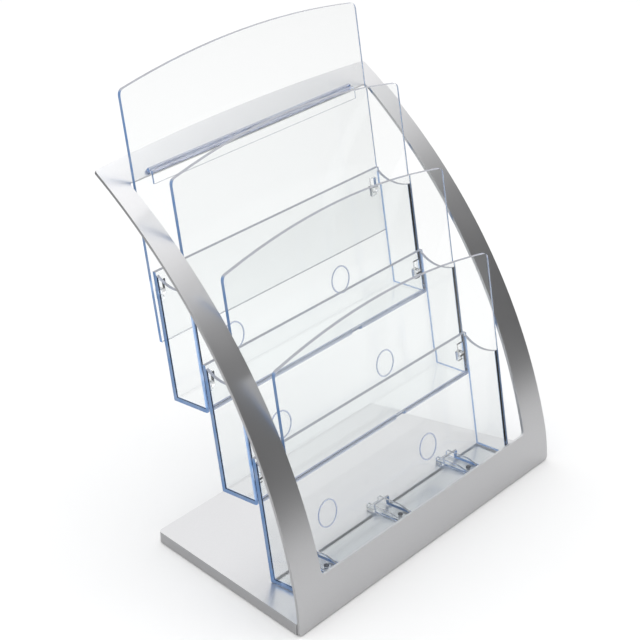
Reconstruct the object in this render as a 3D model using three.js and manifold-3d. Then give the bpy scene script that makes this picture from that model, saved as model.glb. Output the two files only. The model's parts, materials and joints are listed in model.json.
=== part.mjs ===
// Magazine rack: a bent sheet-metal easel on a tray, with a clear insert of three hanging pockets.
// Millimetres. X runs across the rack, Y from front to back, Z up. The finished group stands on Z = 0 with
// its origin under the middle of its outline. Heights "along the lean" are measured up the leaning panels.
import * as THREE from 'three';
import { mergeVertices } from 'three/addons/utils/BufferGeometryUtils.js';
import Module from 'manifold-3d';

const wasm = await Module();
wasm.setup();

const degrees = THREE.MathUtils.degToRad;

// General fits
const GAP = 0.3;                        // air left between pieces that touch
const FLOOR_GAP = 0.8;                  // metal edges stand this far off the table, on the feet

// Sheet-metal easel, measured along the curve of its front surface from its lower edge
const SHEET = {
  thickness: 2,
  length: 334.5,                        // to the crown of its arched top edge
  crownRise: 4.5,                       // from the top corners up to the crown
  footRadius: 137,                      // first bend, upright where it meets the table
  footBend: degrees(12.9),
  sweepRadius: 405,                     // long bend that carries the strips back over the tray
  halfWidthFoot: 143,
  halfWidthTop: 136.1,
  windowHalfFoot: 115.8,
  windowHalfTop: 120.4,
  windowFrom: 31.7,
  windowTo: 313,
  windowCorner: 3,
  topCorner: 2.5,
  footCorner: 2.5,
};

// Base tray: plate with skirts turned down at the sides and back, and a flange turned up in front
const TRAY = {
  height: 8.7,
  thickness: 2.2,
  depth: 146.5,
  halfWidthBack: 115.6,
  backCorner: 3.5,
  flangeTop: 25,
  flangeHalfWidth: 105,
};

// Clear insert
const LEAN = Math.atan(0.1657);         // every clear panel leans back by this much
const WALL = 2.5;
const POCKET = {
  depth: 30.7,                          // front to back, outside
  halfWidth: 116,
  backHeight: 89,                       // along the lean
  scoopDip: 77.5,                       // handle of the curve that dips the side walls' top edge
  scoopFront: 83,
  frontCorner: 157,
  frontCrown: 168,
  floorRadius: 4,
  cornerRadius: 4.5,
  gapBehind: 0.49,                      // level gap between a pocket and the panel that carries it
  stepUp: 53.7,                         // rise from one pocket to the next
  lowestBack: 46.1,                     // rear foot of the lowest pocket, behind the easel's foot
  lowestFloor: TRAY.height + 0.35,
};
const NOTCH = { from: 29, to: 40, height: 4 };
const RING = { x: 57, up: 24, radius: 10, width: 1, height: 0.4 };
const LUG = { x: 110, width: 5, up: 72, neck: 3, drop: 4, thickness: 2.1, play: 0.4, lift: 6.4 };
const TALL = {
  halfWidth: 117.7,
  thickness: 2.2,
  gapAhead: 0.3,
  foot: 41,
  corner: 207.5,
  crown: 216.5,
  cornerRadius: 4.5,
  bandFrom: 143,
  bandTo: 151.6,
  bandHalfWidth: 102.5,
  bandThickness: 1.2,
  hookReach: 4,
  hookThickness: 2,
};

// Fixings
const CLIP = {
  x: 81.5, width: 14, from: 22, to: 54, plate: 1.8, rib: 1.6, ribRise: 3.5, clearance: 0.8, screwFrom: 29,
};
const SCREW = { shank: 0.9, hole: 1.2, head: 1.8, headRise: 1.2, below: 3 };
const RIVET = { up: 17, x: [-88, -30, 30, 88], shank: 1.6, hole: 1.9, head: 3, headRise: 1, bite: 1.2 };
const FOOT = { topRadius: 7, footRadius: 6.2, frontX: 124, frontY: 18, backX: 100, backY: 130 };

// Materials
const metal = (color, roughness) => new THREE.MeshStandardMaterial({ color, roughness, metalness: 1 });
const plastic = (color, roughness, opacity) => new THREE.MeshStandardMaterial(
  { color, roughness, metalness: 0, transparent: opacity < 1, opacity });
const SATIN_SILVER = metal(0xc4c7c9, 0.42);
const STEEL = metal(0x8d9094, 0.35);
const CLEAR = plastic(0xdbe7f2, 0.06, 0.35);
const RUBBER = plastic(0x26282a, 0.85, 1);

// Solids -----------------------------------------------------------------------------------------------

/** A closed geometry as a solid that can be joined and cut. */
function solid(geometry) {
  const bare = geometry.clone();
  bare.deleteAttribute('normal');
  bare.deleteAttribute('uv');
  const merged = mergeVertices(bare, 1e-4);
  return new wasm.Manifold(new wasm.Mesh({
    numProp: 3,
    vertProperties: new Float32Array(merged.attributes.position.array),
    triVerts: new Uint32Array(merged.index.array),
  }));
}

/** The first geometry with every other one joined to it. */
function join(first, ...others) {
  return fromSolid(others.reduce((body, other) => body.add(solid(other)), solid(first)));
}

/** The first geometry with every other one cut away. */
function cut(first, ...others) {
  return fromSolid(others.reduce((body, other) => body.subtract(solid(other)), solid(first)));
}

/** What two geometries share. */
function common(first, second) {
  return fromSolid(solid(first).intersect(solid(second)));
}

/** A solid back as a geometry. */
function fromSolid(body) {
  const mesh = body.getMesh();
  const geometry = new THREE.BufferGeometry();
  geometry.setAttribute('position', new THREE.BufferAttribute(new Float32Array(mesh.vertProperties), 3));
  geometry.setIndex(new THREE.BufferAttribute(new Uint32Array(mesh.triVerts), 1));
  return geometry;
}

/** A box between two corners. */
function block(low, high) {
  const size = high.map((value, axis) => value - low[axis]);
  const centre = high.map((value, axis) => (value + low[axis]) / 2);
  return new THREE.BoxGeometry(...size).translate(...centre);
}

/** A closed outline through a list of [a, b] points. */
function outline(points) {
  return new THREE.Shape(points.map(([a, b]) => new THREE.Vector2(a, b)));
}

/** An outline drawn in [y, z], given width along X from one side to the other. */
function across(shape, fromX, toX, curveSegments = 12) {
  const depth = toX - fromX;
  const geometry = new THREE.ExtrudeGeometry(shape, { depth, bevelEnabled: false, curveSegments });
  geometry.applyMatrix4(new THREE.Matrix4().makeBasis(
    new THREE.Vector3(0, 1, 0), new THREE.Vector3(0, 0, 1), new THREE.Vector3(1, 0, 0)));
  return geometry.translate(fromX, 0, 0);
}

/** An outline drawn in [x, z], given depth along Y from front to back. */
function through(shape, fromY, toY, curveSegments = 12) {
  const depth = toY - fromY;
  const geometry = new THREE.ExtrudeGeometry(shape, { depth, bevelEnabled: false, curveSegments });
  geometry.applyMatrix4(new THREE.Matrix4().makeBasis(
    new THREE.Vector3(1, 0, 0), new THREE.Vector3(0, 0, 1), new THREE.Vector3(0, -1, 0)));
  return geometry.translate(0, toY, 0);
}

/** A round bar along Z between two heights, at a place in plan. */
function bar(radius, fromZ, toZ, x, y, segments = 20) {
  const geometry = new THREE.CylinderGeometry(radius, radius, toZ - fromZ, segments);
  return geometry.rotateX(Math.PI / 2).translate(x, y, (fromZ + toZ) / 2);
}

// The easel's curve --------------------------------------------------------------------------------------

/** How far the sheet leans from upright at a length along its curve. */
function sheetAngle(along) {
  const footLength = SHEET.footRadius * SHEET.footBend;
  if (along <= footLength) return along / SHEET.footRadius;
  return SHEET.footBend + (along - footLength) / SHEET.sweepRadius;
}

/** [y, z] of the sheet at a length along its curve and a depth behind its front surface. */
function sheetPoint(along, depth = 0) {
  const angle = sheetAngle(along);
  const foot = Math.min(angle, SHEET.footBend);
  const sweep = Math.max(angle, SHEET.footBend);
  const y = SHEET.footRadius * (1 - Math.cos(foot))
    + SHEET.sweepRadius * (Math.cos(SHEET.footBend) - Math.cos(sweep));
  const z = SHEET.footRadius * Math.sin(foot)
    + SHEET.sweepRadius * (Math.sin(sweep) - Math.sin(SHEET.footBend));
  return [y + depth * Math.cos(angle), z - depth * Math.sin(angle)];
}

/** Evenly spaced lengths along the curve. */
function stations(from, to, count) {
  return Array.from({ length: count + 1 }, (_, i) => from + (to - from) * i / count);
}

/** A side view of part of the sheet: a band that follows the curve between two depths. */
function sheetBand(from, to, fromDepth, toDepth, count) {
  const lengths = stations(from, to, count);
  const front = lengths.map((along) => sheetPoint(along, fromDepth));
  const back = lengths.reverse().map((along) => sheetPoint(along, toDepth));
  return outline([...front, ...back]);
}

/** Half the sheet's width at a length along the curve. */
function sheetHalfWidth(along) {
  return THREE.MathUtils.lerp(SHEET.halfWidthFoot, SHEET.halfWidthTop, along / SHEET.length);
}

/** Half the window's width at a length along the curve. */
function windowHalfWidth(along) {
  const share = (along - SHEET.windowFrom) / (SHEET.windowTo - SHEET.windowFrom);
  return THREE.MathUtils.lerp(SHEET.windowHalfFoot, SHEET.windowHalfTop, share);
}

/** A front-view outline, symmetric about X = 0, with rounded corners at two lengths and a top edge that
 *  rises to a crown. */
function sheetOutline({ from, to, halfWidth, lowRadius, highRadius, rise }) {
  const steps = 20;
  const right = [];
  for (const turn of stations(-90, 0, 5)) {
    const along = from + lowRadius * (1 + Math.sin(degrees(turn)));
    right.push([halfWidth(along) - lowRadius * (1 - Math.cos(degrees(turn))), sheetPoint(along)[1]]);
  }
  for (const along of stations(from + lowRadius, to - highRadius, steps).slice(1, -1)) {
    right.push([halfWidth(along), sheetPoint(along)[1]]);
  }
  for (const turn of stations(0, 90, 6)) {
    const along = to - highRadius * (1 - Math.sin(degrees(turn)));
    right.push([halfWidth(along) - highRadius * (1 - Math.cos(degrees(turn))), sheetPoint(along)[1]]);
  }
  const shoulder = halfWidth(to) - highRadius;
  for (const share of stations(1, 0, rise ? 12 : 1).slice(1, -1)) {
    right.push([shoulder * share, sheetPoint(to + rise * (1 - share * share))[1]]);
  }
  const left = right.map(([x, z]) => [-x, z]).reverse();
  return outline([...right, [0, sheetPoint(to + rise)[1]], ...left]);
}

// Metal parts --------------------------------------------------------------------------------------------

/** The easel: a band along the curve, trimmed to its front view, with the window and rivets' blind holes. */
function frontFrame() {
  const reach = SHEET.halfWidthFoot + 5;
  const band = across(sheetBand(0, SHEET.length, 0, SHEET.thickness, 26), -reach, reach);
  const outer = sheetOutline({
    from: FLOOR_GAP,
    to: SHEET.length - SHEET.crownRise,
    halfWidth: sheetHalfWidth,
    lowRadius: SHEET.footCorner,
    highRadius: SHEET.topCorner,
    rise: SHEET.crownRise,
  });
  const opening = sheetOutline({
    from: SHEET.windowFrom,
    to: SHEET.windowTo,
    halfWidth: windowHalfWidth,
    lowRadius: SHEET.windowCorner,
    highRadius: SHEET.windowCorner,
    rise: 0,
  });
  const trimmed = common(band, through(outer, -50, 250));
  const rivetHoles = RIVET.x.map((x) => rivetBar(x, RIVET.hole, -RIVET.bite, 6));
  return cut(trimmed, through(opening, -50, 250), ...rivetHoles);
}

/** A round bar through the sheet at a rivet's place; depths are counted from the sheet's rear surface. */
function rivetBar(x, radius, from, to) {
  const geometry = new THREE.CylinderGeometry(radius, radius, to - from, 16);
  geometry.translate(0, (from + to) / 2, 0);
  geometry.rotateX(-sheetAngle(RIVET.up));
  return geometry.translate(x, ...sheetPoint(RIVET.up, SHEET.thickness));
}

/** Plan of the tray, pulled in by an inset, with rounded rear corners. */
function trayPlan(inset, front) {
  const slope = (SHEET.halfWidthFoot - TRAY.halfWidthBack) / TRAY.depth;
  const halfWidth = (y) => SHEET.halfWidthFoot - slope * y - inset * Math.hypot(1, slope);
  const back = TRAY.depth - inset;
  const radius = TRAY.backCorner - inset;
  const plan = new THREE.Shape();
  plan.moveTo(-halfWidth(front), front);
  plan.lineTo(halfWidth(front), front);
  plan.lineTo(halfWidth(back - radius), back - radius);
  plan.quadraticCurveTo(halfWidth(back), back, halfWidth(back) - radius, back);
  plan.lineTo(-halfWidth(back) + radius, back);
  plan.quadraticCurveTo(-halfWidth(back), back, -halfWidth(back - radius), back - radius);
  return plan;
}

/** An outline drawn in [x, y], given height along Z. */
function upright(shape, fromZ, toZ) {
  const depth = toZ - fromZ;
  const geometry = new THREE.ExtrudeGeometry(shape, { depth, bevelEnabled: false, curveSegments: 6 });
  return geometry.translate(0, 0, fromZ);
}

/** The tray: plate, skirts and flange, with the screws' and rivets' holes. */
function baseTray() {
  const front = SHEET.thickness + GAP;
  const plate = upright(trayPlan(0, front + 0.8), FLOOR_GAP, TRAY.height);
  const hollow = upright(trayPlan(TRAY.thickness, -10), -5, TRAY.height - TRAY.thickness);
  const flange = across(
    sheetBand(TRAY.height - TRAY.thickness, TRAY.flangeTop, front, front + TRAY.thickness, 6),
    -TRAY.flangeHalfWidth, TRAY.flangeHalfWidth);
  const screwHoles = clipPlaces().map((x) => bar(SCREW.hole, 0, TRAY.height + 5, x, CLIP.screwFrom));
  const rivetHoles = RIVET.x.map((x) => rivetBar(x, RIVET.hole, -5, 5));
  return cut(join(cut(plate, hollow), flange), ...screwHoles, ...rivetHoles);
}

/** A rivet that joins the flange to the easel: its head stands on the flange's rear face. */
function frameRivet(x) {
  const headFrom = GAP + TRAY.thickness + GAP;
  const profile = [
    [0, -RIVET.bite + GAP], [RIVET.shank, -RIVET.bite + GAP], [RIVET.shank, headFrom],
    [RIVET.head, headFrom], [RIVET.head, headFrom + RIVET.headRise * 0.5],
    [RIVET.head * 0.7, headFrom + RIVET.headRise], [0, headFrom + RIVET.headRise],
  ];
  const geometry = lathe(profile, 16);
  geometry.rotateX(-sheetAngle(RIVET.up));
  return geometry.translate(x, ...sheetPoint(RIVET.up, SHEET.thickness));
}

/** A turned piece about the Y axis from its [radius, height] profile, closed on the axis. */
function lathe(profile, segments) {
  return new THREE.LatheGeometry(profile.map(([radius, up]) => new THREE.Vector2(radius, up)), segments);
}

/** A tapered rubber foot under the plate. */
function rubberFoot(x, y) {
  const top = TRAY.height - TRAY.thickness - GAP;
  const { footRadius, topRadius } = FOOT;
  const profile = [[0, 0], [footRadius - 0.8, 0], [footRadius, 0.8], [topRadius, top], [0, top]];
  return lathe(profile, 24).rotateX(Math.PI / 2).translate(x, y, 0);
}

// Clear insert -------------------------------------------------------------------------------------------

/** [y, z] of a point a level distance ahead of a pocket's rear plane and some way up the lean. */
function lean(ahead, up) {
  return [-ahead + up * Math.sin(LEAN), up * Math.cos(LEAN)];
}

/** A sloping slab between two level distances ahead and two heights up the lean. */
function slab(fromAhead, toAhead, fromUp, toUp, halfWidth, centreX = 0) {
  const side = outline([
    lean(toAhead, fromUp), lean(fromAhead, fromUp), lean(fromAhead, toUp), lean(toAhead, toUp)]);
  return across(side, centreX - halfWidth, centreX + halfWidth);
}

/** Front view of a panel with an arched top: corners, crown and corner radius as [x, height up the lean]. */
function archedOutline(halfWidth, foot, corner, crown, radius) {
  const scale = Math.cos(LEAN);
  const shape = new THREE.Shape();
  const shoulder = (corner + radius * 0.1) * scale;
  shape.moveTo(-halfWidth, foot * scale);
  shape.lineTo(halfWidth, foot * scale);
  shape.lineTo(halfWidth, (corner - radius) * scale);
  shape.quadraticCurveTo(halfWidth, corner * scale, halfWidth - radius, shoulder);
  shape.quadraticCurveTo(0, (2 * crown - corner) * scale, radius - halfWidth, shoulder);
  shape.quadraticCurveTo(-halfWidth, corner * scale, -halfWidth, (corner - radius) * scale);
  return shape;
}

/** Side view of a pocket's outside, up past its tallest point, with its lower front edge rounded. */
function pocketSide(inset, radius, top) {
  const back = inset;
  const front = POCKET.depth - inset;
  const side = new THREE.Shape();
  side.moveTo(...lean(back, inset));
  side.lineTo(...lean(back, top));
  side.lineTo(...lean(front, top));
  side.lineTo(...lean(front, inset + radius));
  side.quadraticCurveTo(...lean(front, inset), ...lean(front - radius, inset));
  return side;
}

/** The air above the side walls: a scoop that dips between the low back and the tall front. */
function scoop() {
  const side = new THREE.Shape();
  side.moveTo(...lean(WALL, POCKET.backHeight - 2.2));
  side.quadraticCurveTo(
    ...lean(13, POCKET.scoopDip), ...lean(POCKET.depth - WALL, POCKET.scoopFront));
  side.lineTo(...lean(POCKET.depth - WALL, 200));
  side.lineTo(...lean(WALL, 200));
  return across(side, -200, 200, 8);
}

/** One hook on the rear of a pocket: a neck that passes the carrier's slot and a tongue behind it. */
function lug(x, carrierThickness, gap) {
  const neckEnd = -(gap + carrierThickness + LUG.play);
  const side = outline([
    lean(WALL / 2, LUG.up), lean(WALL / 2, LUG.up + LUG.neck),
    lean(neckEnd - LUG.thickness, LUG.up + LUG.neck), lean(neckEnd - LUG.thickness, LUG.up - LUG.drop),
    lean(neckEnd, LUG.up - LUG.drop), lean(neckEnd, LUG.up)]);
  return across(side, x - LUG.width / 2, x + LUG.width / 2);
}

/** The slot that a hook passes, from just under its neck to the end of its lift. */
function lugSlot(x, ahead, up) {
  return slab(ahead - 5, ahead + 5, up - GAP, up + LUG.neck + LUG.lift + GAP, LUG.width / 2 + LUG.play, x);
}

/** A moulded ring on the inner face of the low back. */
function backRing(x) {
  const inner = RING.radius - RING.width;
  const { radius, height } = RING;
  const profile = [[inner, -1], [radius, -1], [radius, height], [inner, height], [inner, -1]];
  const geometry = lathe(profile, 24);
  geometry.rotateX(Math.PI - LEAN);
  return geometry.translate(x, ...lean(WALL, RING.up));
}

/** A pocket. Options: whether another pocket hangs on its front, its carrier's thickness and gap, and
 *  whether it stands over the base clips. */
function pocket({ carries, carrierThickness, carrierGap, onClips }) {
  const { depth, halfWidth } = POCKET;
  const outside = across(pocketSide(0, POCKET.floorRadius, 190), -halfWidth, halfWidth, 6);
  const inside = across(pocketSide(WALL, 2, 210), WALL - halfWidth, halfWidth - WALL, 4);
  const aboveBack = slab(-5, WALL + 0.01, POCKET.backHeight, 230, 200);
  const arch = through(
    archedOutline(halfWidth, -5, POCKET.frontCorner, POCKET.frontCrown, POCKET.cornerRadius), -200, 200, 14);
  const notch = slab(depth - WALL - 1, depth + 5, -5, NOTCH.height, (NOTCH.to - NOTCH.from) / 2,
    (NOTCH.to + NOTCH.from) / 2);
  const tools = [inside, aboveBack, scoop(), notch];
  if (carries) {
    const up = LUG.up - POCKET.stepUp / Math.cos(LEAN);
    tools.push(lugSlot(-LUG.x, depth, up), lugSlot(LUG.x, depth, up));
  }
  const shell = cut(common(outside, arch), ...tools);
  const shaped = onClips ? cut(shell, ...clipPlaces().map(clipOpening)) : shell;
  const lugs = [-LUG.x, LUG.x].map((x) => lug(x, carrierThickness, carrierGap));
  return join(shaped, ...lugs, backRing(-RING.x), backRing(RING.x));
}

/** The tall panel behind the top pocket, with the rail that hangs over the window's top edge.
 *  It is drawn from the top pocket's rear foot. */
function tallPanel(foot) {
  const near = TALL.gapAhead / Math.cos(LEAN);
  const far = near + TALL.thickness / Math.cos(LEAN);
  const sheet = slab(-far, -near, TALL.foot - 5, TALL.crown + 20, TALL.halfWidth + 5);
  const front = archedOutline(TALL.halfWidth, TALL.foot, TALL.corner, TALL.crown, TALL.cornerRadius);
  const panel = common(sheet, through(front, -200, 400, 16));
  const slots = [-LUG.x, LUG.x].map((x) => lugSlot(x, -near - TALL.thickness / 2, LUG.up));
  const band = slab(-near - 1, TALL.bandThickness - near, TALL.bandFrom, TALL.bandTo, TALL.bandHalfWidth);
  return join(cut(panel, ...slots), band, hookRail(foot, near));
}

/** The rail's hook, which lies along the sheet just above the window's top edge. */
function hookRail(foot, near) {
  const local = ([y, z]) => [y - foot[0], z - foot[1]];
  const tip = SHEET.windowTo + TALL.hookReach;
  const under = -GAP - 0.05;
  const root = lean(-near - 1, TALL.bandTo);
  const rootLow = local(sheetPoint(SHEET.windowTo, under));
  const side = outline([
    [lean(-near - 1, (rootLow[1] + 1) / Math.cos(LEAN))[0], rootLow[1] + 0.4],
    [rootLow[0], rootLow[1] + 0.4],
    local(sheetPoint(tip, under)),
    local(sheetPoint(tip, under - TALL.hookThickness)),
    [root[0] + 1.2, root[1] + 0.6],
    root]);
  return across(side, -TALL.bandHalfWidth, TALL.bandHalfWidth);
}

// Fixings on the tray ------------------------------------------------------------------------------------

/** Where the clips stand across the tray. */
function clipPlaces() {
  return [-CLIP.x, 0, CLIP.x];
}

/** What the lowest pocket's floor and back leave open for a clip, drawn from the pocket's rear foot. */
function clipOpening(x) {
  const halfWidth = CLIP.width / 2 + CLIP.clearance;
  const top = CLIP.plate + CLIP.ribRise + 2;
  const front = CLIP.from - 1.6 - POCKET.lowestBack;
  return block([x - halfWidth, front, -5], [x + halfWidth, 10, top]);
}

/** A clear clip: a plate on the tray with a rib along each side that rises to the back. */
function baseClip(x) {
  const low = TRAY.height + GAP;
  const high = low + CLIP.plate;
  const plate = block([x - CLIP.width / 2, CLIP.from, low], [x + CLIP.width / 2, CLIP.to, high]);
  const side = outline([
    [CLIP.from, high - 0.5], [CLIP.to, high - 0.5], [CLIP.to, high + CLIP.ribRise - 1],
    [CLIP.to - 1, high + CLIP.ribRise], [CLIP.from + 12, high + CLIP.ribRise]]);
  const leftRib = across(side, x - CLIP.width / 2, x - CLIP.width / 2 + CLIP.rib);
  const rightRib = across(side, x + CLIP.width / 2 - CLIP.rib, x + CLIP.width / 2);
  return cut(join(plate, leftRib, rightRib), bar(SCREW.hole, low - 5, high + 5, x, CLIP.screwFrom));
}

/** A pan-head screw through a clip and the tray's plate. */
function clipScrew(x) {
  const seat = TRAY.height + GAP + CLIP.plate + GAP;
  const profile = [
    [0, SCREW.below], [SCREW.shank, SCREW.below], [SCREW.shank, seat], [SCREW.head, seat],
    [SCREW.head, seat + SCREW.headRise * 0.55], [SCREW.head * 0.72, seat + SCREW.headRise],
    [0, seat + SCREW.headRise]];
  return lathe(profile, 20).rotateX(Math.PI / 2).translate(x, CLIP.screwFrom, 0);
}

// Assembly -----------------------------------------------------------------------------------------------

/** [y, z] of a pocket's rear foot, counted from the lowest pocket up. */
function pocketFoot(level) {
  const stepBack = POCKET.depth + POCKET.gapBehind + POCKET.stepUp * Math.tan(LEAN);
  return [POCKET.lowestBack + level * stepBack, POCKET.lowestFloor + level * POCKET.stepUp];
}

const rack = new THREE.Group();
rack.name = 'magazine_rack';

/** Adds one named piece to the rack. */
function add(name, geometry, material, [y, z] = [0, 0]) {
  const mesh = new THREE.Mesh(geometry, material);
  mesh.name = name;
  mesh.position.set(0, y, z);
  rack.add(mesh);
}

add('front_frame', frontFrame(), SATIN_SILVER);
add('base_tray', baseTray(), SATIN_SILVER);
RIVET.x.forEach((x, i) => add(`frame_rivet_${i + 1}`, frameRivet(x), STEEL));
const footPlaces = [
  [-FOOT.frontX, FOOT.frontY],
  [FOOT.frontX, FOOT.frontY],
  [-FOOT.backX, FOOT.backY],
  [FOOT.backX, FOOT.backY],
];
footPlaces.forEach(([x, y], i) => add(`foot_${i + 1}`, rubberFoot(x, y), RUBBER));
['left', 'centre', 'right'].forEach((side, i) => {
  add(`base_clip_${side}`, baseClip(clipPlaces()[i]), CLEAR);
  add(`clip_screw_${side}`, clipScrew(clipPlaces()[i]), STEEL);
});

const hung = { carrierThickness: WALL, carrierGap: POCKET.gapBehind };
const onTall = {
  carrierThickness: TALL.thickness / Math.cos(LEAN),
  carrierGap: TALL.gapAhead / Math.cos(LEAN),
};
add('pocket_bottom', pocket({ carries: false, onClips: true, ...hung }), CLEAR, pocketFoot(0));
add('pocket_middle', pocket({ carries: true, onClips: false, ...hung }), CLEAR, pocketFoot(1));
add('pocket_top', pocket({ carries: true, onClips: false, ...onTall }), CLEAR, pocketFoot(2));
add('tall_back_panel', tallPanel(pocketFoot(2)), CLEAR, pocketFoot(2));

// The origin moves from the easel's foot to the middle of the outline
const overallDepth = sheetPoint(SHEET.length, SHEET.thickness)[0];
rack.position.set(0, -overallDepth / 2, 0);

export default rack;
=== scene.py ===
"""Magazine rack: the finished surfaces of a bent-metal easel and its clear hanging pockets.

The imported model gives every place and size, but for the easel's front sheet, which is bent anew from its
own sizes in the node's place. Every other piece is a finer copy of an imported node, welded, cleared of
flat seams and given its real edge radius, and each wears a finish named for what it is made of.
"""

import json
import logging
import math
from dataclasses import dataclass, field
from enum import Enum
from typing import Any

import bmesh
import bpy
from mathutils import Euler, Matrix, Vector

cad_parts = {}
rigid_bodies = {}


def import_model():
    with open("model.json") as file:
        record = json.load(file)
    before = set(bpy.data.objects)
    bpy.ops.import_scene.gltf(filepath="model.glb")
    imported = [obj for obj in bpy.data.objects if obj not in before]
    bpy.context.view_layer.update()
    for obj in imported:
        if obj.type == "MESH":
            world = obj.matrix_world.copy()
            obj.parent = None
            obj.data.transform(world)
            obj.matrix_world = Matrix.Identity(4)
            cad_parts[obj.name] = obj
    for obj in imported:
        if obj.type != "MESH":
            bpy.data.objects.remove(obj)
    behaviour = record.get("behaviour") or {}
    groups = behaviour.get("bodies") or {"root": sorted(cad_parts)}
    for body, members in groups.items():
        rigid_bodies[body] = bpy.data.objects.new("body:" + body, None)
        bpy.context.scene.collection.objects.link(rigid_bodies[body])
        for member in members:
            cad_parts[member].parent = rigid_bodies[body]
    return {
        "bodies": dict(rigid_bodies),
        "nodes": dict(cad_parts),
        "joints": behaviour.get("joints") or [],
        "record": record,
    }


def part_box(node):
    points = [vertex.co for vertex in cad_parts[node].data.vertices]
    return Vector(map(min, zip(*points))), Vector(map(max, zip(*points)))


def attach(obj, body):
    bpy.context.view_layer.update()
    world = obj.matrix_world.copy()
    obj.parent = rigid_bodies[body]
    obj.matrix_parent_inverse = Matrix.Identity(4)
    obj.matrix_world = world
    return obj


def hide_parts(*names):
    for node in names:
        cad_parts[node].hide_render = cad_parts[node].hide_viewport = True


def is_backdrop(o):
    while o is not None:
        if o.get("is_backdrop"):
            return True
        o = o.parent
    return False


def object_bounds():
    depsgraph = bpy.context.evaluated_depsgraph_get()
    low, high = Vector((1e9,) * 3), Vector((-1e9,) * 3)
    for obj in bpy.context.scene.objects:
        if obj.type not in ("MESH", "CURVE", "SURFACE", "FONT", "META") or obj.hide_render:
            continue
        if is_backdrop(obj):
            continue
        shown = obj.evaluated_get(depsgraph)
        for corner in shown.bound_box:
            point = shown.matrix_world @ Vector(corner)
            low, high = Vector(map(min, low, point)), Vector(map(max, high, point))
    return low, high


LOG = logging.getLogger("rack")
MM = 0.001
CLEAR_BOUNCES = 40                     # enough for a line of sight through every clear wall
RGBA = {"data_type": "RGBA"}
SMOOTH_STEP = {"interpolation_type": "SMOOTHSTEP"}


class Slot(Enum):
    """The record's material slots."""

    SILVER = "satin_silver"
    CLEAR = "clear_plastic"
    RIVET = "rivet_steel"
    SCREW = "screw_steel"
    FOOT = "foot_rubber"


class Body(Enum):
    """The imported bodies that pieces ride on."""

    STAND = "stand"
    TALL = "tall_back"
    TOP = "top_pocket"
    MIDDLE = "middle_pocket"
    BOTTOM = "bottom_pocket"


def linear(hex_colour: str) -> tuple[float, float, float, float]:
    """Turn an sRGB hex colour into the linear colour that shaders use.

    Args:
        hex_colour: Six hex digits after a hash sign.

    Returns:
        Linear red, green and blue, and an alpha of 1.
    """
    channels = [int(hex_colour[i:i + 2], 16) / 255 for i in (1, 3, 5)]
    bent = [c / 12.92 if c <= 0.04045 else ((c + 0.055) / 1.055) ** 2.4 for c in channels]
    return bent[0], bent[1], bent[2], 1.0


def add_node(tree: bpy.types.NodeTree, kind: str, settings: dict[str, Any] | None = None,
             values: dict[Any, Any] | None = None, links: dict[Any, Any] | None = None) -> bpy.types.Node:
    """Add one shader node, set it up and link its inputs.

    Args:
        tree: The node tree that takes the node.
        kind: The node's Blender type name.
        settings: Attributes of the node itself.
        values: Input sockets' names or numbers, and what they hold.
        links: Input sockets' names or numbers, and the output sockets that feed them.

    Returns:
        The new node.
    """
    node = tree.nodes.new(kind)
    for name, value in (settings or {}).items():
        setattr(node, name, value)
    for socket, value in (values or {}).items():
        node.inputs[socket].default_value = value
    for socket, source in (links or {}).items():
        tree.links.new(source, node.inputs[socket])
    return node


def per_metre(size_mm: float) -> float:
    """Noise scale whose grain is about this many millimetres across."""
    return 1.0 / (size_mm * MM)


def new_material(name: str) -> tuple[bpy.types.Material, bpy.types.NodeTree, bpy.types.Node]:
    """Make an empty node material.

    Args:
        name: The material's name.

    Returns:
        The material, its node tree and its output node.
    """
    material = bpy.data.materials.new(name)
    material.use_nodes = True
    tree = material.node_tree
    tree.nodes.clear()
    return material, tree, add_node(tree, "ShaderNodeOutputMaterial")


@dataclass(frozen=True)
class SatinPowderCoat:
    """Silver powder coat, sprayed and baked on bent sheet steel.

    It gives the eye a soft metal sheen that has no sharp mirror image, with a very fine grain in it.
    """

    colour: str = "#E6E6E7"
    shade: str = "#D6D6D8"
    metallic: float = 0.96
    roughness: float = 0.3
    roughness_drift: float = 0.05
    flake_mm: float = 0.7      # real flakes are near 0.05 mm; drawn as coarse as shows
    flake_rise_mm: float = 0.04
    cloud_mm: float = 60.0

    def build(self) -> bpy.types.Material:
        """Make the material: flakes break up the sheen, and a slow cloud shifts the coat's depth."""
        material, tree, output = new_material("satin_silver_powder_coat")
        place = add_node(tree, "ShaderNodeTexCoord").outputs["Object"]
        flakes = add_node(tree, "ShaderNodeTexNoise",
                          values={"Scale": per_metre(self.flake_mm), "Detail": 3.0},
                          links={"Vector": place}).outputs["Fac"]
        cloud = add_node(tree, "ShaderNodeTexNoise",
                         values={"Scale": per_metre(self.cloud_mm), "Detail": 2.0},
                         links={"Vector": place}).outputs["Fac"]
        blend = add_node(tree, "ShaderNodeMath", {"operation": "MULTIPLY_ADD"}, {1: 0.55, 2: 0.2},
                         {0: flakes}).outputs[0]
        colour = add_node(tree, "ShaderNodeMix", RGBA,
                          {6: linear(self.shade), 7: linear(self.colour)}, {0: blend}).outputs[2]
        rough = add_node(tree, "ShaderNodeMapRange",
                         values={3: self.roughness - self.roughness_drift,
                                 4: self.roughness + self.roughness_drift},
                         links={0: cloud}).outputs[0]
        bump = add_node(tree, "ShaderNodeBump",
                        values={"Strength": 0.12, "Distance": self.flake_rise_mm * MM},
                        links={"Height": flakes}).outputs[0]
        shader = add_node(tree, "ShaderNodeBsdfPrincipled", values={"Metallic": self.metallic},
                          links={"Base Color": colour, "Roughness": rough, "Normal": bump})
        tree.links.new(shader.outputs[0], output.inputs["Surface"])
        return material


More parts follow.
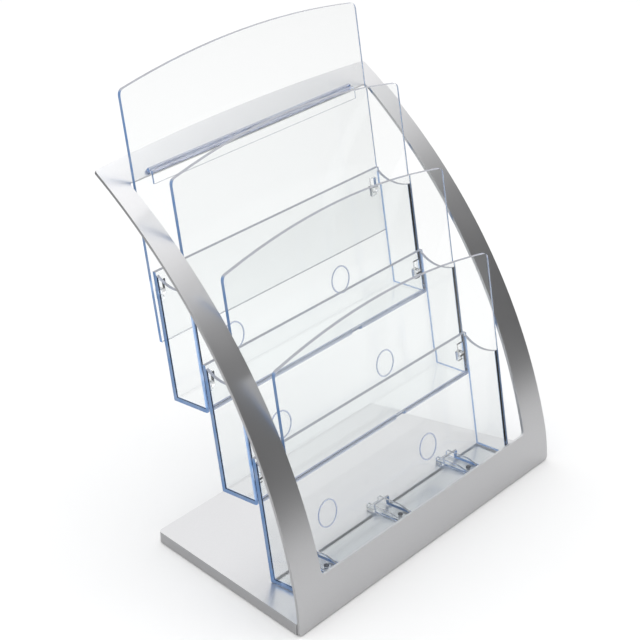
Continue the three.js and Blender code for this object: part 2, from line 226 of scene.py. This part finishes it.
def let_lamps_through(tree: bpy.types.NodeTree, surface: bpy.types.NodeSocket,
                      veil: str) -> bpy.types.NodeSocket:
    """Make a clear surface cast only a faint shadow.

    Args:
        tree: The material's node tree.
        surface: The shader that every other ray meets.
        veil: The colour that light keeps when it passes on its way to a lamp.

    Returns:
        The shader to put on the output.
    """
    open_air = add_node(tree, "ShaderNodeBsdfTransparent", values={"Color": linear(veil)}).outputs[0]
    lamp_ray = add_node(tree, "ShaderNodeLightPath").outputs["Is Shadow Ray"]
    return add_node(tree, "ShaderNodeMixShader", links={0: lamp_ray, 1: surface, 2: open_air}).outputs[0]


@dataclass(frozen=True)
class ClearMoulding:
    """Clear polystyrene, injection-moulded in a polished mould.

    It gives the eye glassy faces that bend and mirror a little unevenly where the melt flowed.
    """

    face: str = "#FDFEFE"
    veil: str = "#F6F8FA"
    ior: float = 1.43          # polystyrene's own is near 1.59; this one mirrors more faintly
    haze: float = 0.03
    flow_mm: float = 35.0
    flow_rise_mm: float = 0.05

    def build(self) -> bpy.types.Material:
        """Make the material: smooth glass with faint flow waves, which lets lamps' light through."""
        material, tree, output = new_material("clear_moulded_polystyrene")
        place = add_node(tree, "ShaderNodeTexCoord").outputs["Object"]
        flow = add_node(tree, "ShaderNodeTexNoise",
                        values={"Scale": per_metre(self.flow_mm), "Detail": 1.5},
                        links={"Vector": place}).outputs["Fac"]
        rough = add_node(tree, "ShaderNodeMapRange", values={3: 0.0, 4: self.haze},
                         links={0: flow}).outputs[0]
        bump = add_node(tree, "ShaderNodeBump",
                        values={"Strength": 0.02, "Distance": self.flow_rise_mm * MM},
                        links={"Height": flow}).outputs[0]
        glass = add_node(tree, "ShaderNodeBsdfPrincipled",
                         values={"Base Color": linear(self.face), "IOR": self.ior,
                                 "Transmission Weight": 1.0},
                         links={"Roughness": rough, "Normal": bump}).outputs[0]
        tree.links.new(let_lamps_through(tree, glass, self.veil), output.inputs["Surface"])
        return material


@dataclass(frozen=True)
class ClearMouldingPaintedGlowEdge:
    """The same polystyrene at a wall's edge, with the light that the wall gathers and lets out there
    painted into its colour.

    It gives the eye thin bright lines of painted glow. Edges that face sideways are painted a blue glow,
    those that face forward a pale violet blue, and top edges are almost without colour.
    """

    # painted glow colours, picked by which way an edge faces; streak is a paler painted glow that wanders
    # at random
    side: str = "#86B2EE"
    front: str = "#C0CBEE"
    top: str = "#D9DAE2"
    streak: str = "#DCE6F6"
    streak_share: float = 0.35
    streak_mm: float = 9.0
    veil: str = "#D5DEEA"
    ior: float = 1.43
    roughness: float = 0.22
    roughness_drift: float = 0.08
    clearness: float = 0.5

    def build(self) -> bpy.types.Material:
        """Make the material: half clear and half a painted glow, its depth of colour wandering along the
        edge.
        """
        material, tree, output = new_material("clear_polystyrene_edge_painted_glow")
        place = add_node(tree, "ShaderNodeTexCoord").outputs
        facing = add_node(tree, "ShaderNodeSeparateXYZ", links={0: place["Normal"]}).outputs
        streak = add_node(tree, "ShaderNodeTexNoise",
                          values={"Scale": per_metre(self.streak_mm), "Detail": 1.0},
                          links={"Vector": place["Object"]}).outputs["Fac"]
        sideways = add_node(tree, "ShaderNodeMath", {"operation": "ABSOLUTE"},
                            links={0: facing["X"]}).outputs[0]
        upward = add_node(tree, "ShaderNodeMapRange", SMOOTH_STEP, {1: 0.25, 2: 0.8},
                          {0: facing["Z"]}).outputs[0]
        aside = add_node(tree, "ShaderNodeMapRange", SMOOTH_STEP, {1: 0.35, 2: 0.9},
                         {0: sideways}).outputs[0]
        # painted glow: the edge's colour is picked by which way it faces, standing in for light let out at
        # the edge
        level = add_node(tree, "ShaderNodeMix", RGBA,
                         {6: linear(self.front), 7: linear(self.top)}, {0: upward}).outputs[2]
        glow = add_node(tree, "ShaderNodeMix", RGBA, {7: linear(self.side)},
                        {0: aside, 6: level}).outputs[2]
        wander = add_node(tree, "ShaderNodeMapRange", values={1: 0.3, 2: 0.7, 3: 0.0, 4: self.streak_share},
                          links={0: streak}).outputs[0]
        painted_glow_colour = add_node(tree, "ShaderNodeMix", RGBA, {7: linear(self.streak)},
                         {0: wander, 6: glow}).outputs[2]
        rough = add_node(tree, "ShaderNodeMapRange",
                         values={3: self.roughness - self.roughness_drift,
                                 4: self.roughness + self.roughness_drift},
                         links={0: streak}).outputs[0]
        edge = add_node(tree, "ShaderNodeBsdfPrincipled",
                        values={"IOR": self.ior, "Transmission Weight": self.clearness},
                        links={"Base Color": painted_glow_colour, "Roughness": rough}).outputs[0]
        tree.links.new(let_lamps_through(tree, edge, self.veil), output.inputs["Surface"])
        return material


@dataclass(frozen=True)
class PlatedSteel:
    """Zinc plate on a small turned steel fixing: bright grains of the lathe's marks on a darker ground."""

    name: str
    colour: str
    shade: str
    roughness: float = 0.3
    mark_mm: float = 0.35

    def build(self) -> bpy.types.Material:
        """Make the material: turning marks as fine noise, which moves the tone between two greys."""
        material, tree, output = new_material(self.name)
        place = add_node(tree, "ShaderNodeTexCoord").outputs["Object"]
        marks = add_node(tree, "ShaderNodeTexNoise",
                         values={"Scale": per_metre(self.mark_mm), "Detail": 2.0},
                         links={"Vector": place}).outputs["Fac"]
        colour = add_node(tree, "ShaderNodeMix", RGBA,
                          {6: linear(self.shade), 7: linear(self.colour)}, {0: marks}).outputs[2]
        rough = add_node(tree, "ShaderNodeMapRange",
                         values={3: self.roughness - 0.06, 4: self.roughness + 0.1},
                         links={0: marks}).outputs[0]
        shader = add_node(tree, "ShaderNodeBsdfPrincipled", values={"Metallic": 1.0},
                          links={"Base Color": colour, "Roughness": rough})
        tree.links.new(shader.outputs[0], output.inputs["Surface"])
        return material


@dataclass(frozen=True)
class MouldedRubber:
    """Black rubber, moulded: matt, with the fine tooth of the mould's blasted steel."""

    colour: str = "#2A2B2D"
    shade: str = "#1D1E20"
    roughness: tuple[float, float] = (0.75, 0.92)
    grit_mm: float = 0.5
    grit_rise_mm: float = 0.1

    def build(self) -> bpy.types.Material:
        """Make the material: a speckled matt black with a low bump."""
        material, tree, output = new_material("moulded_rubber")
        place = add_node(tree, "ShaderNodeTexCoord").outputs["Object"]
        grit = add_node(tree, "ShaderNodeTexNoise",
                        values={"Scale": per_metre(self.grit_mm), "Detail": 3.0},
                        links={"Vector": place}).outputs["Fac"]
        colour = add_node(tree, "ShaderNodeMix", RGBA,
                          {6: linear(self.shade), 7: linear(self.colour)}, {0: grit}).outputs[2]
        smoothest, roughest = self.roughness
        rough = add_node(tree, "ShaderNodeMapRange", values={3: smoothest, 4: roughest},
                         links={0: grit}).outputs[0]
        bump = add_node(tree, "ShaderNodeBump",
                        values={"Strength": 0.3, "Distance": self.grit_rise_mm * MM},
                        links={"Height": grit}).outputs[0]
        shader = add_node(tree, "ShaderNodeBsdfPrincipled", values={"IOR": 1.52},
                          links={"Base Color": colour, "Roughness": rough, "Normal": bump})
        tree.links.new(shader.outputs[0], output.inputs["Surface"])
        return material


@dataclass
class Workshop:
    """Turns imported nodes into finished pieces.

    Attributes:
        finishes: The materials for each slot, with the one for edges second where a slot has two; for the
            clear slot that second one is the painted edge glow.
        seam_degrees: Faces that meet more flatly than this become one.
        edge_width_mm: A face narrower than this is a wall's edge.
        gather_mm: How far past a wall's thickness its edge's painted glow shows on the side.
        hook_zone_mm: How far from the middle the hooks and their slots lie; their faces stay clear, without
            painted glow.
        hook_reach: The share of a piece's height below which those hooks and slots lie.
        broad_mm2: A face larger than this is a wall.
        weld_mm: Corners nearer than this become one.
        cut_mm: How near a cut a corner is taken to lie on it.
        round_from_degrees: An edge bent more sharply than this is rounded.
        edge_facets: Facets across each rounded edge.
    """

    frame: dict[str, Any]
    finishes: dict[Slot, tuple[bpy.types.Material, ...]]
    seam_degrees: float = 0.6
    edge_width_mm: float = 3.8
    gather_mm: float = 0.35
    hook_zone_mm: tuple[float, float] = (106.5, 113.2)
    hook_reach: float = 0.75
    broad_mm2: float = 2500.0
    weld_mm: float = 0.002
    cut_mm: float = 0.01
    round_from_degrees: float = 28.0
    edge_facets: int = 3

    def welded(self, node: str) -> bmesh.types.BMesh:
        """Copy a node's mesh and clear its flat seams.

        Args:
            node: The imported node.

        Returns:
            The mesh, ready to work on.
        """
        work = bmesh.new()
        work.from_mesh(self.frame["nodes"][node].data)
        bmesh.ops.remove_doubles(work, verts=work.verts, dist=self.weld_mm * MM)
        bmesh.ops.dissolve_limit(work, angle_limit=math.radians(self.seam_degrees), verts=work.verts,
                                 edges=work.edges)
        return work

    def score_sides(self, work: bmesh.types.BMesh) -> None:
        """Cut the side faces along the planes of the broad walls, so that each wall's edge is its own face.

        Args:
            work: The mesh that is cut.
        """
        walls = [(face.calc_center_median(), face.normal.copy()) for face in work.faces
                 if face.calc_area() > self.broad_mm2 * MM * MM and abs(face.normal.x) < 0.5]
        for point, normal in walls:
            sides = [face for face in work.faces if abs(face.normal.x) > 0.99]
            edges = {edge for face in sides for edge in face.edges}
            corners = {corner for face in sides for corner in face.verts}
            bmesh.ops.bisect_plane(work, geom=[*corners, *edges, *sides], dist=self.cut_mm * MM,
                                   plane_co=point + normal * self.gather_mm * MM, plane_no=normal)

    def mark_edges(self, work: bmesh.types.BMesh) -> None:
        """Give the second material, the painted edge glow on clear pieces, to every face that is a wall's
        edge.

        Args:
            work: The mesh whose faces are marked.
        """
        top = max(corner.co.z for corner in work.verts)
        foot = min(corner.co.z for corner in work.verts)
        near, far = (limit * MM for limit in self.hook_zone_mm)
        for face in work.faces:
            width = 2 * face.calc_area() / face.calc_perimeter()
            hook = all(near < abs(corner.co.x) < far for corner in face.verts)
            share = (face.calc_center_median().z - foot) / (top - foot)
            if width < self.edge_width_mm * MM and not (hook and share < self.hook_reach):
                face.material_index = 1

    def placed(self, node: str, body: Body, slot: Slot, mesh: bpy.types.Mesh) -> bpy.types.Object:
        """Put a finished mesh in a node's place and dress it.

        Args:
            node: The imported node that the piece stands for.
            body: The body it rides on.
            slot: The record's slot that it takes its finish from.
            mesh: The finished mesh.

        Returns:
            The piece.
        """
        piece = bpy.data.objects.new(f"{node}_finished", mesh)
        bpy.context.scene.collection.objects.link(piece)
        for material in self.finishes[slot]:
            mesh.materials.append(material)
        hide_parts(node)
        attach(piece, body.value)
        LOG.info("%s: %d faces, rides on %s", piece.name, len(mesh.polygons), body.value)
        return piece

    def rounded(self, piece: bpy.types.Object, edge_mm: float, smooth: bool) -> None:
        """Round a piece's edges.

        Args:
            piece: The piece.
            edge_mm: The radius left on its edges.
            smooth: Whether its curved faces are shaded as one; clear walls stay true planes.
        """
        bevel = piece.modifiers.new("edge radius", "BEVEL")
        bevel.width = edge_mm * MM
        bevel.segments = self.edge_facets
        bevel.limit_method = "ANGLE"
        bevel.angle_limit = math.radians(self.round_from_degrees)
        bevel.use_clamp_overlap = True
        # rounded edges take the last material: on clear pieces, the painted edge glow
        bevel.material = len(piece.data.materials) - 1
        if smooth:
            settle = piece.modifiers.new("settled normals", "WEIGHTED_NORMAL")
            settle.weight = 100
            settle.keep_sharp = True

    def solid_piece(self, node: str, body: Body, slot: Slot, edge_mm: float) -> bpy.types.Object:
        """Finish an opaque node.

        Args:
            node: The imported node.
            body: The body it rides on.
            slot: The record's slot that it takes its finish from.
            edge_mm: The radius left on its edges.

        Returns:
            The finished piece.
        """
        work = self.welded(node)
        for face in work.faces:
            face.smooth = True
        mesh = bpy.data.meshes.new(f"{node}_finished")
        work.to_mesh(mesh)
        work.free()
        piece = self.placed(node, body, slot, mesh)
        self.rounded(piece, edge_mm, smooth=True)
        return piece

    def clear_piece(self, node: str, body: Body, edge_mm: float, walls: bool = True) -> bpy.types.Object:
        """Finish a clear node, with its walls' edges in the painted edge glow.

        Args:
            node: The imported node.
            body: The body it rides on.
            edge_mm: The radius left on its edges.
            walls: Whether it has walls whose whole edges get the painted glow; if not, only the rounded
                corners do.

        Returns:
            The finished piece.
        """
        work = self.welded(node)
        if walls:
            self.score_sides(work)
            self.mark_edges(work)
        for face in work.faces:
            face.smooth = False
        mesh = bpy.data.meshes.new(f"{node}_finished")
        work.to_mesh(mesh)
        work.free()
        piece = self.placed(node, body, Slot.CLEAR, mesh)
        self.rounded(piece, edge_mm, smooth=False)
        return piece


@dataclass
class BentSheet:
    """The easel's front: one sheet, cut with a window and bent back on two radii.

    Sizes are in millimetres and lengths run along the curve of its front surface from its lower edge.
    A pair holds a value at the foot and a value at the top.

    Attributes:
        foot_y: Where the front surface meets the table, in metres.
        ends: The lower edge, and the top edge at its corners.
        crown_rise: How far the arched top edge rises above its corners.
        foot_radius: The tighter bend at the foot, up to foot_bend.
        sweep_radius: The wide bend from there to the top.
        row_mm: The widest gap between rows of corners.
        corner_rows: Rows in each round corner.
        strip_columns: Columns across each strip beside the window.
        middle_columns: Columns across the window's width.
    """

    foot_y: float
    thickness: float = 2.0
    ends: tuple[float, float] = (0.8, 330.0)
    crown_rise: float = 4.5
    foot_radius: float = 137.0
    foot_bend: float = math.radians(12.9)
    sweep_radius: float = 405.0
    half_width: tuple[float, float] = (143.0, 136.1)
    corner: tuple[float, float] = (2.5, 2.5)
    window: tuple[float, float] = (31.7, 313.0)
    window_half_width: tuple[float, float] = (115.8, 120.4)
    window_corner: tuple[float, float] = (3.0, 3.0)
    row_mm: float = 6.0
    corner_rows: int = 8
    strip_columns: int = 5
    middle_columns: int = 18

    def surface(self, along: float) -> tuple[float, float]:
        """Place of the front surface at a length along the curve, in metres.

        Args:
            along: Length along the curve.

        Returns:
            Y and Z.
        """
        foot_length = self.foot_radius * self.foot_bend
        foot = min(along / self.foot_radius, self.foot_bend)
        sweep = self.foot_bend + max(along - foot_length, 0.0) / self.sweep_radius
        back = (self.foot_radius * (1 - math.cos(foot))
                + self.sweep_radius * (math.cos(self.foot_bend) - math.cos(sweep)))
        up = (self.foot_radius * math.sin(foot)
              + self.sweep_radius * (math.sin(sweep) - math.sin(self.foot_bend)))
        return self.foot_y + back * MM, up * MM

    def side(self, along: float, limits: tuple[float, float], halves: tuple[float, float],
             corners: tuple[float, float]) -> float:
        """Half width of a tapering outline with round corners, in metres.

        Args:
            along: Length along the curve.
            limits: Where the outline starts and ends.
            halves: Its half width at the foot and the top of its taper.
            corners: Its corner radii.

        Returns:
            The half width there.
        """
        low, high = limits
        along = min(max(along, low), high)
        half = halves[0] + (halves[1] - halves[0]) * (along - low) / (high - low)
        for radius, reach in ((corners[0], along - low), (corners[1], high - along)):
            if reach < radius:
                half -= radius - math.sqrt(radius ** 2 - (radius - reach) ** 2)
        return half * MM

    def rows(self) -> list[float]:
        """Lengths along the curve, close together in the round corners and even between them."""
        low, high = self.ends
        sill, head = self.window
        found = {low, high, sill, head}
        for start, radius, way in ((low, self.corner[0], 1), (high, self.corner[1], -1),
                                   (sill, self.window_corner[0], 1), (head, self.window_corner[1], -1)):
            for step in range(1, self.corner_rows + 1):
                turn = math.radians(90) * step / self.corner_rows
                found.add(start + way * radius * (1 - math.cos(turn)))
        stops = sorted(found)
        for start, stop in zip(stops[:-1], stops[1:]):
            count = math.ceil((stop - start) / self.row_mm)
            found.update(start + (stop - start) * step / count for step in range(1, count))
        return sorted(found)

    def columns(self, along: float) -> list[float]:
        """Where the columns of corners stand across the sheet at a length along the curve, in metres.

        Args:
            along: Length along the curve.

        Returns:
            X of each column, from left to right.
        """
        outer = self.side(along, self.ends, self.half_width, self.corner)
        inner = self.side(along, self.window, self.window_half_width, self.window_corner)
        strip = [outer + (inner - outer) * i / self.strip_columns for i in range(self.strip_columns)]
        middle = [inner * (1 - 2 * i / self.middle_columns) for i in range(self.middle_columns + 1)]
        return [-x for x in strip] + [-x for x in middle] + strip[::-1]

    def arched(self, along: float, across: float) -> float:
        """Length along the curve once the sheet's head is stretched up to its arched top edge.

        Args:
            along: Length along the curve before the stretch.
            across: X of the point, in metres.

        Returns:
            The stretched length.
        """
        head, corner = self.window[1], self.ends[1]
        share = max(along - head, 0.0) / (corner - head)
        return along + self.crown_rise * share * (1 - (across / (self.half_width[1] * MM)) ** 2)

    def mesh(self, name: str) -> bpy.types.Mesh:
        """Build the front surface, open where the window is.

        Args:
            name: The mesh's name.

        Returns:
            The mesh.
        """
        work = bmesh.new()
        rows = self.rows()
        grid = [[work.verts.new((x, *self.surface(self.arched(along, x)))) for x in self.columns(along)]
                for along in rows]
        sill, head = self.window
        for i, (low, high) in enumerate(zip(rows[:-1], rows[1:])):
            solid = high <= sill or low >= head
            for j in range(len(grid[i]) - 1):
                in_strip = j < self.strip_columns or j >= self.strip_columns + self.middle_columns
                if solid or in_strip:
                    face = work.faces.new((grid[i][j], grid[i][j + 1], grid[i + 1][j + 1], grid[i + 1][j]))
                    face.smooth = True
        loose = [corner for corner in work.verts if not corner.link_faces]
        bmesh.ops.delete(work, geom=loose, context="VERTS")
        mesh = bpy.data.meshes.new(name)
        work.to_mesh(mesh)
        work.free()
        return mesh


@dataclass
class Stand:
    """The metal easel, its tray and everything fixed to them.

    Attributes:
        shop: Where pieces are finished.
        sheet_edge_mm: Edge radius of the coated sheet.
        moulded_edge_mm: Edge radius of the clips.
        fixing_edge_mm: Edge radius of rivets, screws and feet.
        sides: The clips' places.
        count: How many rivets and feet there are.
    """

    shop: Workshop
    sheet_edge_mm: float = 0.5
    moulded_edge_mm: float = 0.3
    fixing_edge_mm: float = 0.25
    sides: tuple[str, ...] = ("left", "centre", "right")
    count: int = 4

    def build(self) -> None:
        """Finish the sheet metal, then the fixings, clips and feet."""
        self.easel()
        self.shop.solid_piece("base_tray", Body.STAND, Slot.SILVER, self.sheet_edge_mm)
        for number in range(1, self.count + 1):
            self.shop.solid_piece(f"frame_rivet_{number}", Body.STAND, Slot.RIVET, self.fixing_edge_mm)
            self.shop.solid_piece(f"foot_{number}", Body.STAND, Slot.FOOT, self.fixing_edge_mm)
        for side in self.sides:
            self.shop.clear_piece(f"base_clip_{side}", Body.STAND, self.moulded_edge_mm, walls=False)
            self.shop.solid_piece(f"clip_screw_{side}", Body.STAND, Slot.SCREW, self.fixing_edge_mm)

    def easel(self) -> None:
        """Bend the easel's sheet, give it its thickness and round its edges."""
        low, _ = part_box("front_frame")
        sheet = BentSheet(foot_y=low[1])
        piece = self.shop.placed("front_frame", Body.STAND, Slot.SILVER, sheet.mesh("front_frame_finished"))
        thicken = piece.modifiers.new("sheet thickness", "SOLIDIFY")
        thicken.thickness = sheet.thickness * MM
        thicken.offset = -1
        thicken.use_even_offset = True
        self.shop.rounded(piece, self.sheet_edge_mm, smooth=True)


@dataclass
class Insert:
    """The clear insert: a tall panel and the pockets that hang in a row from it.

    Attributes:
        shop: Where pieces are finished.
        edge_mm: Edge radius of the mouldings.
        riders: Each clear node with the body it rides on.
    """

    shop: Workshop
    edge_mm: float = 0.4
    riders: dict[str, Body] = field(default_factory=lambda: {
        "tall_back_panel": Body.TALL, "pocket_top": Body.TOP,
        "pocket_middle": Body.MIDDLE, "pocket_bottom": Body.BOTTOM})

    def build(self) -> None:
        """Finish every clear moulding."""
        for node, body in self.riders.items():
            self.shop.clear_piece(node, body, self.edge_mm)


@dataclass(frozen=True)
class Softbox:
    """One square soft lamp.

    Attributes:
        name: The lamp's name.
        place: Where it hangs.
        side: The length of its side in metres.
        power: Its power in watts.
        aim: The point it faces.
    """

    name: str
    place: tuple[float, float, float]
    side: float
    power: float
    aim: tuple[float, float, float] = (0.0, 0.0, 0.1)

    def hang(self) -> None:
        """Add the lamp to the scene, facing its aim."""
        data = bpy.data.lights.new(self.name, "AREA")
        data.size = self.side
        data.energy = self.power
        lamp = bpy.data.objects.new(self.name, data)
        lamp.location = self.place
        lamp.rotation_euler = (Vector(self.place) - Vector(self.aim)).to_track_quat("Z", "Y").to_euler()
        bpy.context.scene.collection.objects.link(lamp)


@dataclass
class Studio:
    """The pale table, soft light and camera.

    Attributes:
        low: The object's lowest corner.
        high: The object's highest corner.
        heading: Degrees from +Y towards +X that the camera looks along.
        dip: Degrees below the horizon that it looks.
        distance: Metres from the camera to where it aims.
        focal_mm: Focal length on a sensor_mm sensor.
        aim_y: Y of the point that it aims at.
        aim_height: Where it aims, as a share of the object's height.
        shift: The camera's shift.
        table: The table top's colour.
        table_side: The length of its side in metres.
        front_reflection_shade: Painted shade that gloss sees in place of the table in front of the rack.
        left_reflection_shade: Painted shade that gloss sees in place of it to the left.
        far_reflection_shade: Painted shade that gloss sees in place of it farther off.
        reflection_shade_seam: Half the width over which the front painted shade turns into the left one, in
            metres.
        reflection_shade_ends: Where the near painted shades start to turn into the far one and where they
            end, in metres.
        behind: From which direction to which the tent brightens behind the rack, as a cosine.
        behind_glow: How far it brightens there.
        above: From which direction to which it brightens overhead, as a cosine.
        glow: The tent's strength for gloss, at its dimmest and at its brightest.
        through_share: How much of the painted reflection shade shows in a reflection seen through a clear
            wall.
        softboxes: The lamps.
    """

    low: Vector
    high: Vector
    heading: float = 51.55
    dip: float = 26.17
    distance: float = 1.3128
    focal_mm: float = 109.36
    sensor_mm: float = 36.0
    aim_y: float = 0.0021
    aim_height: float = 0.4223
    shift: tuple[float, float] = (-0.018, 0.0045)
    table: str = "#F5F5F5"
    table_side: float = 14.0
    # painted shade that only reflections see on the table; no card lies there
    front_reflection_shade: str = "#CECECE"
    left_reflection_shade: str = "#B6B6B6"
    far_reflection_shade: str = "#505050"
    reflection_shade_seam: float = 0.01
    reflection_shade_ends: tuple[float, float] = (0.45, 1.1)
    behind: tuple[float, float] = (0.45, 0.8)
    behind_glow: float = 0.7
    above: tuple[float, float] = (0.45, 0.68)
    glow: tuple[float, float] = (0.1, 1.3)
    through_share: float = 0.7
    softboxes: tuple[Softbox, ...] = (Softbox("overhead_softbox", (0.1, 0.25, 1.5), 1.6, 5.0),
                                      Softbox("left_softbox", (-1.5, 0.3, 0.9), 1.0, 3.0))

    def build(self) -> None:
        """Lay the floor, light it, and set the camera."""
        self.floor()
        self.sky()
        for softbox in self.softboxes:
            softbox.hang()
        self.camera()

    def mirrored(self, tree: bpy.types.NodeTree) -> bpy.types.NodeSocket:
        """Tell rays that gloss has reflected from all others.

        Args:
            tree: The node tree that asks.

        Returns:
            1 for a reflected ray, most of 1 for one that then passed a clear wall, 0 for any other.
        """
        path = add_node(tree, "ShaderNodeLightPath").outputs
        straight = add_node(tree, "ShaderNodeMath", {"operation": "SUBTRACT", "use_clamp": True},
                            links={0: path["Is Glossy Ray"], 1: path["Is Transmission Ray"]}).outputs[0]
        passed = add_node(tree, "ShaderNodeMath", {"operation": "MULTIPLY", "use_clamp": True},
                          links={0: path["Glossy Depth"], 1: path["Is Transmission Ray"]}).outputs[0]
        return add_node(tree, "ShaderNodeMath", {"operation": "MULTIPLY_ADD", "use_clamp": True},
                        {1: self.through_share}, {0: passed, 2: straight}).outputs[0]

    def floor(self) -> None:
        """Lay a wide pale table top. Gloss sees it darker: painted shade that only reflections show, grey
        in front and to the left of the rack and near black farther off.
        """
        bpy.ops.mesh.primitive_plane_add(size=self.table_side, location=(0, 0, 0))
        floor = bpy.context.object
        floor.name = "floor"
        material, tree, output = new_material("pale_table")
        place = add_node(tree, "ShaderNodeTexCoord").outputs["Object"]
        corner = self.low.y - self.low.x
        across = add_node(tree, "ShaderNodeVectorMath", {"operation": "DOT_PRODUCT"}, {1: (-1.0, 1.0, 0.0)},
                          {0: place}).outputs["Value"]
        left = add_node(tree, "ShaderNodeMapRange", SMOOTH_STEP,
                        {1: corner - self.reflection_shade_seam, 2: corner + self.reflection_shade_seam}, {0: across}).outputs[0]
        reach = add_node(tree, "ShaderNodeVectorMath", {"operation": "LENGTH"},
                         links={0: place}).outputs["Value"]
        near_end, far_start = self.reflection_shade_ends
        far = add_node(tree, "ShaderNodeMapRange", SMOOTH_STEP, {1: near_end, 2: far_start},
                       {0: reach}).outputs[0]
        # painted reflection shade: grey in front and to the left, near black far off, shown only to
        # reflected rays
        painted_reflection_shade = add_node(tree, "ShaderNodeMix", RGBA,
                         {6: linear(self.front_reflection_shade), 7: linear(self.left_reflection_shade)}, {0: left}).outputs[2]
        faded = add_node(tree, "ShaderNodeMix", RGBA, {7: linear(self.far_reflection_shade)},
                         {0: far, 6: painted_reflection_shade}).outputs[2]
        seen = add_node(tree, "ShaderNodeMix", RGBA, {6: linear(self.table)},
                        {0: self.mirrored(tree), 7: faded}).outputs[2]
        shader = add_node(tree, "ShaderNodeBsdfDiffuse", links={"Color": seen})
        tree.links.new(shader.outputs[0], output.inputs["Surface"])
        floor.data.materials.append(material)
        floor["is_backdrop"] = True

    def sky(self) -> None:
        """Surround the rack with a white tent that gloss sees dim in front, bright above and behind."""
        world = bpy.data.worlds.new("studio")
        bpy.context.scene.world = world
        world.use_nodes = True
        tree = world.node_tree
        tree.nodes.clear()
        output = add_node(tree, "ShaderNodeOutputWorld")
        way = add_node(tree, "ShaderNodeTexCoord").outputs["Generated"]
        turn = math.radians(self.heading)
        back = add_node(tree, "ShaderNodeVectorMath", {"operation": "DOT_PRODUCT"},
                        {1: (math.sin(turn), math.cos(turn), 0.0)}, {0: way}).outputs["Value"]
        up = add_node(tree, "ShaderNodeVectorMath", {"operation": "DOT_PRODUCT"},
                      {1: (0.0, 0.0, 1.0)}, {0: way}).outputs["Value"]
        behind = add_node(tree, "ShaderNodeMapRange", SMOOTH_STEP,
                          {1: self.behind[0], 2: self.behind[1], 4: self.behind_glow},
                          {0: back}).outputs[0]
        above = add_node(tree, "ShaderNodeMapRange", SMOOTH_STEP,
                         {1: self.above[0], 2: self.above[1]}, {0: up}).outputs[0]
        bright = add_node(tree, "ShaderNodeMath", {"operation": "MAXIMUM"},
                          links={0: behind, 1: above}).outputs[0]
        dimmest, brightest = self.glow
        carded = add_node(tree, "ShaderNodeMapRange", values={3: dimmest, 4: brightest},
                          links={0: bright}).outputs[0]
        strength = add_node(tree, "ShaderNodeMix", {"data_type": "FLOAT"}, {2: 1.0},
                            {0: self.mirrored(tree), 3: carded}).outputs[0]
        shader = add_node(tree, "ShaderNodeBackground", values={"Color": linear("#FFFFFF")},
                          links={"Strength": strength})
        tree.links.new(shader.outputs[0], output.inputs["Surface"])

    def camera(self) -> None:
        """Set the camera on its line of sight and make it the scene's."""
        data = bpy.data.cameras.new("camera")
        data.sensor_width = self.sensor_mm
        data.lens = self.focal_mm
        data.shift_x, data.shift_y = self.shift
        camera = bpy.data.objects.new("camera", data)
        turn, dip = math.radians(self.heading), math.radians(self.dip)
        sight = Vector((math.sin(turn) * math.cos(dip), math.cos(turn) * math.cos(dip), -math.sin(dip)))
        aim = Vector((0, self.aim_y, self.low.z + (self.high.z - self.low.z) * self.aim_height))
        camera.location = aim - sight * self.distance
        camera.rotation_euler = Euler((math.radians(90) - dip, 0, -turn))
        bpy.context.scene.collection.objects.link(camera)
        bpy.context.scene.camera = camera


def main() -> None:
    """Build the rack and its studio."""
    logging.basicConfig(level=logging.INFO, format="%(name)s %(message)s")
    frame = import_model()
    cad_low, cad_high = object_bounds()
    scene = bpy.context.scene
    scene.view_settings.view_transform = "Standard"
    scene.cycles.max_bounces = CLEAR_BOUNCES
    scene.cycles.transmission_bounces = CLEAR_BOUNCES
    scene.cycles.transparent_max_bounces = CLEAR_BOUNCES
    shop = Workshop(frame, {
        Slot.SILVER: (SatinPowderCoat().build(),),
        # the second clear finish paints a glow on the walls' edges
        Slot.CLEAR: (ClearMoulding().build(), ClearMouldingPaintedGlowEdge().build()),
        Slot.RIVET: (PlatedSteel("bright_rivet_steel", "#B9BBBE", "#8F9296").build(),),
        Slot.SCREW: (PlatedSteel("dark_zinc_plate", "#6C6E72", "#3E4044").build(),),
        Slot.FOOT: (MouldedRubber().build(),),
    })
    Stand(shop).build()
    Insert(shop).build()
    Studio(cad_low, cad_high).build()


if __name__ == "__main__":
    main()
